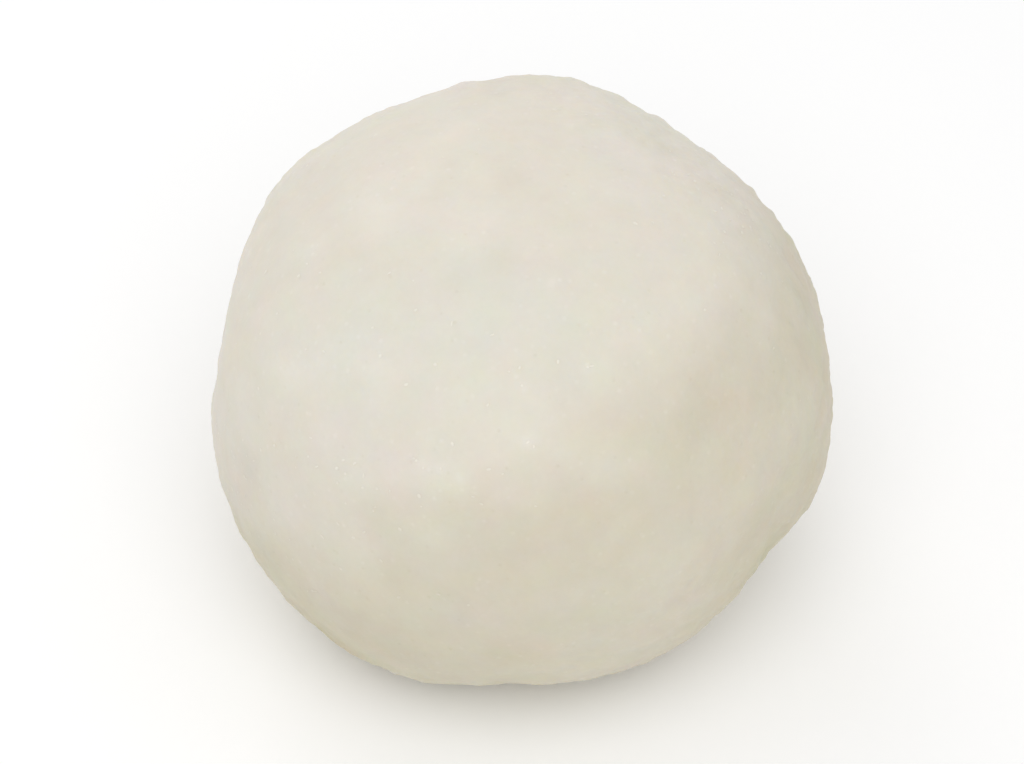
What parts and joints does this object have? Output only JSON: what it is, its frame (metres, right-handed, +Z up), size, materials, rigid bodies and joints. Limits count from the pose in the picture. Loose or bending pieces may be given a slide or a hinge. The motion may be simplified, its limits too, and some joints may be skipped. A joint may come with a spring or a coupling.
{
  "type": "shine muscat daifuku",
  "caption": "Uncut round rice cake of soft pale mochi, dusted with starch, patted by hand round a whole grape and resting on its own flat foot.",
  "frame": {"origin": "middle of the foot, on the surface that the cake rests on", "axes": "+Z up; -Y towards the front, which is the side that the picture shows; +X to the right seen from the front"},
  "size_m": [0.048, 0.0475, 0.0399],
  "materials": {
    "mochi": "soft matte dough, dusted with fine white starch"
  },
  "bodies": {
    "root": {"daifuku": "mochi"}
  },
  "joints": []
}
